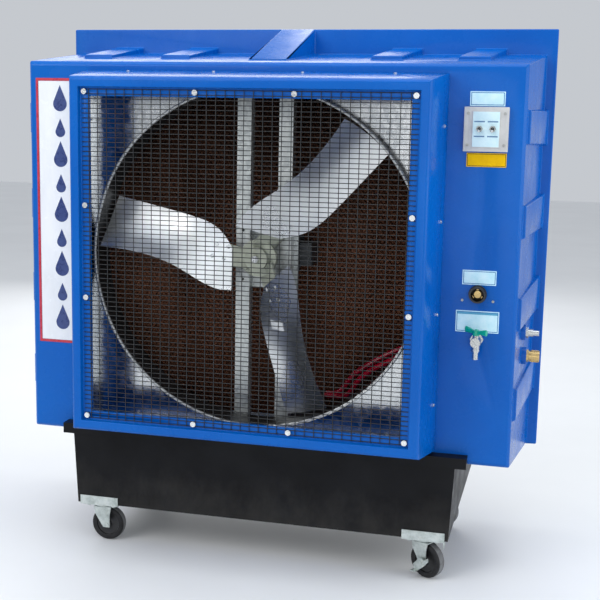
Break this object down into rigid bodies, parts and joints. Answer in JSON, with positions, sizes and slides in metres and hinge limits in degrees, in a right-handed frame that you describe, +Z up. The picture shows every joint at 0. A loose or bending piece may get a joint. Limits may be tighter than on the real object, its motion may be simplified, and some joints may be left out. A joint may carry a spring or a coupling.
{
  "type": "evaporative cooler",
  "caption": "Portable evaporative cooler: moulded cabinet with guarded axial fan, wetted rear pads, pumped sump and a swivel-caster stand.",
  "frame": {"origin": "on the floor, under the middle of the cooler's outline in plan", "axes": "+Z up, the fan blows towards -Y, +X is towards the control column"},
  "size_m": [1.53, 0.66, 1.528],
  "materials": {
    "blue_shell": "glossy moulded polyethylene",
    "galvanised": "galvanised sheet",
    "venturi": "dull grey sheet",
    "guard_wire": "black coated wire",
    "screw": "bright plated",
    "motor_grey": "dark grey enamel",
    "bright_steel": "bright steel",
    "hub_cast": "sand-cast, pale green-beige",
    "blade_metal": "satin pressed sheet",
    "grey_enclosure": "light grey powder coat",
    "sign_white": "gloss sticker",
    "sign_ink": "printed ink",
    "label": "laminated label",
    "black_plastic": "matt black moulding",
    "contact_brass": "dull brass",
    "plated": "plated brass",
    "green_plastic": "glossy green handle",
    "brass": "machined brass",
    "cooling_pad": "dark wet corrugated cellulose",
    "white_pipe": "white pipe",
    "impeller": "amber plastic",
    "red_hose": "glossy red hose",
    "float": "orange plastic",
    "zinc": "zinc plate",
    "tyre": "dark rubber"
  },
  "bodies": {
    "housing": {"cabinet": "blue_shell", "rear_flange": "blue_shell", "fan_shroud": "blue_shell", "orifice_panel": "galvanised", "venturi_ring": "venturi", "guard": "guard_wire", "guard_screws": "screw", "shroud_screws": "screw", "struts": "galvanised", "strut_brackets": "galvanised", "motor_plate": "galvanised", "motor_body": "motor_grey", "motor_box": "motor_grey", "control_box": "grey_enclosure", "control_cover": "grey_enclosure", "cover_screws": "screw", "toggle_bushings": "screw", "sign_panel": "sign_white", "sign_marks": "sign_ink", "label_plates": "label", "power_inlet": "black_plastic", "inlet_core": "contact_brass", "valve_body": "plated", "hose_inlet": "brass", "overflow_fitting": "plated", "pad_1": "cooling_pad", "pad_2": "cooling_pad", "pad_3": "cooling_pad", "pad_4": "cooling_pad", "pad_shelf": "galvanised", "pad_retainer": "galvanised", "header_pipe": "white_pipe", "pump_body": "black_plastic", "hose_drain": "red_hose", "hose_supply": "red_hose", "float_valve": "brass", "base": "black_plastic", "corner_brackets": "zinc", "caster_plates": "zinc"},
    "rotor": {"motor_shaft": "bright_steel", "fan_hub": "hub_cast", "blade_1": "blade_metal", "blade_2": "blade_metal", "blade_3": "blade_metal", "rivets": "bright_steel"},
    "switch_fan": {"toggle_fan": "bright_steel"},
    "switch_pump": {"toggle_pump": "bright_steel"},
    "drain_handle": {"valve_handle": "green_plastic"},
    "inlet_nut": {"hose_nut": "brass"},
    "float": {"float_arm": "float"},
    "pump_rotor": {"impeller": "impeller"},
    "swivel_fl": {"fork_fl": "zinc"},
    "swivel_fr": {"fork_fr": "zinc"},
    "swivel_rl": {"fork_rl": "zinc"},
    "swivel_rr": {"fork_rr": "zinc"},
    "roller_fl": {"wheel_fl": "tyre"},
    "roller_fr": {"wheel_fr": "tyre"},
    "roller_rl": {"wheel_rl": "tyre"},
    "roller_rr": {"wheel_rr": "tyre"},
    "brake": {"brake_pedal": "zinc"}
  },
  "joints": [
    {"name": "fan_spin", "type": "hinge", "parent": "housing", "child": "rotor", "pos_m": [-0.01, -0.154, 0.87], "axis": [0, 1, 0], "continuous": true},
    {"name": "pump_spin", "type": "hinge", "parent": "housing", "child": "pump_rotor", "pos_m": [0.07, 0.07, 0.36], "axis": [0, 0, 1], "continuous": true},
    {"name": "fan_toggle", "type": "hinge", "parent": "housing", "child": "switch_fan", "pos_m": [0.581, -0.176, 1.236], "axis": [1, 0, 0], "range_deg": [-28, 0]},
    {"name": "pump_toggle", "type": "hinge", "parent": "housing", "child": "switch_pump", "pos_m": [0.615, -0.176, 1.236], "axis": [1, 0, 0], "range_deg": [-28, 0]},
    {"name": "drain_turn", "type": "hinge", "parent": "housing", "child": "drain_handle", "pos_m": [0.598, -0.194, 0.705], "axis": [0, 0, 1], "range_deg": [-50, 40]},
    {"name": "inlet_nut_turn", "type": "hinge", "parent": "housing", "child": "inlet_nut", "pos_m": [0.745, 0.035, 0.605], "axis": [1, 0, 0], "continuous": true},
    {"name": "float_swing", "type": "hinge", "parent": "housing", "child": "float", "pos_m": [0.648, 0.035, 0.392], "axis": [0, 1, 0], "range_deg": [-14, 3]},
    {"name": "swivel_turn_fl", "type": "hinge", "parent": "housing", "child": "swivel_fl", "pos_m": [-0.478, -0.15, 0.1035], "axis": [0, 0, 1], "continuous": true},
    {"name": "wheel_spin_fl", "type": "hinge", "parent": "swivel_fl", "child": "roller_fl", "pos_m": [-0.463, -0.15, 0.05], "axis": [0, 1, 0], "continuous": true},
    {"name": "swivel_turn_fr", "type": "hinge", "parent": "housing", "child": "swivel_fr", "pos_m": [0.478, -0.15, 0.1035], "axis": [0, 0, 1], "continuous": true},
    {"name": "wheel_spin_fr", "type": "hinge", "parent": "swivel_fr", "child": "roller_fr", "pos_m": [0.49099, -0.1575, 0.05], "axis": [0.5, 0.866, 0], "continuous": true},
    {"name": "brake_press", "type": "hinge", "parent": "swivel_fr", "child": "brake", "pos_m": [0.49099, -0.1575, 0.05], "axis": [0.5, 0.866, 0], "range_deg": [-18, 0]},
    {"name": "swivel_turn_rl", "type": "hinge", "parent": "housing", "child": "swivel_rl", "pos_m": [-0.478, 0.25, 0.1035], "axis": [0, 0, 1], "continuous": true},
    {"name": "wheel_spin_rl", "type": "hinge", "parent": "swivel_rl", "child": "roller_rl", "pos_m": [-0.46571, 0.2586, 0.05], "axis": [-0.5736, 0.8191, 0], "continuous": true},
    {"name": "swivel_turn_rr", "type": "hinge", "parent": "housing", "child": "swivel_rr", "pos_m": [0.478, 0.25, 0.1035], "axis": [0, 0, 1], "continuous": true},
    {"name": "wheel_spin_rr", "type": "hinge", "parent": "swivel_rr", "child": "roller_rr", "pos_m": [0.4921, 0.24487, 0.05], "axis": [0.342, 0.9397, 0], "continuous": true}
  ]
}
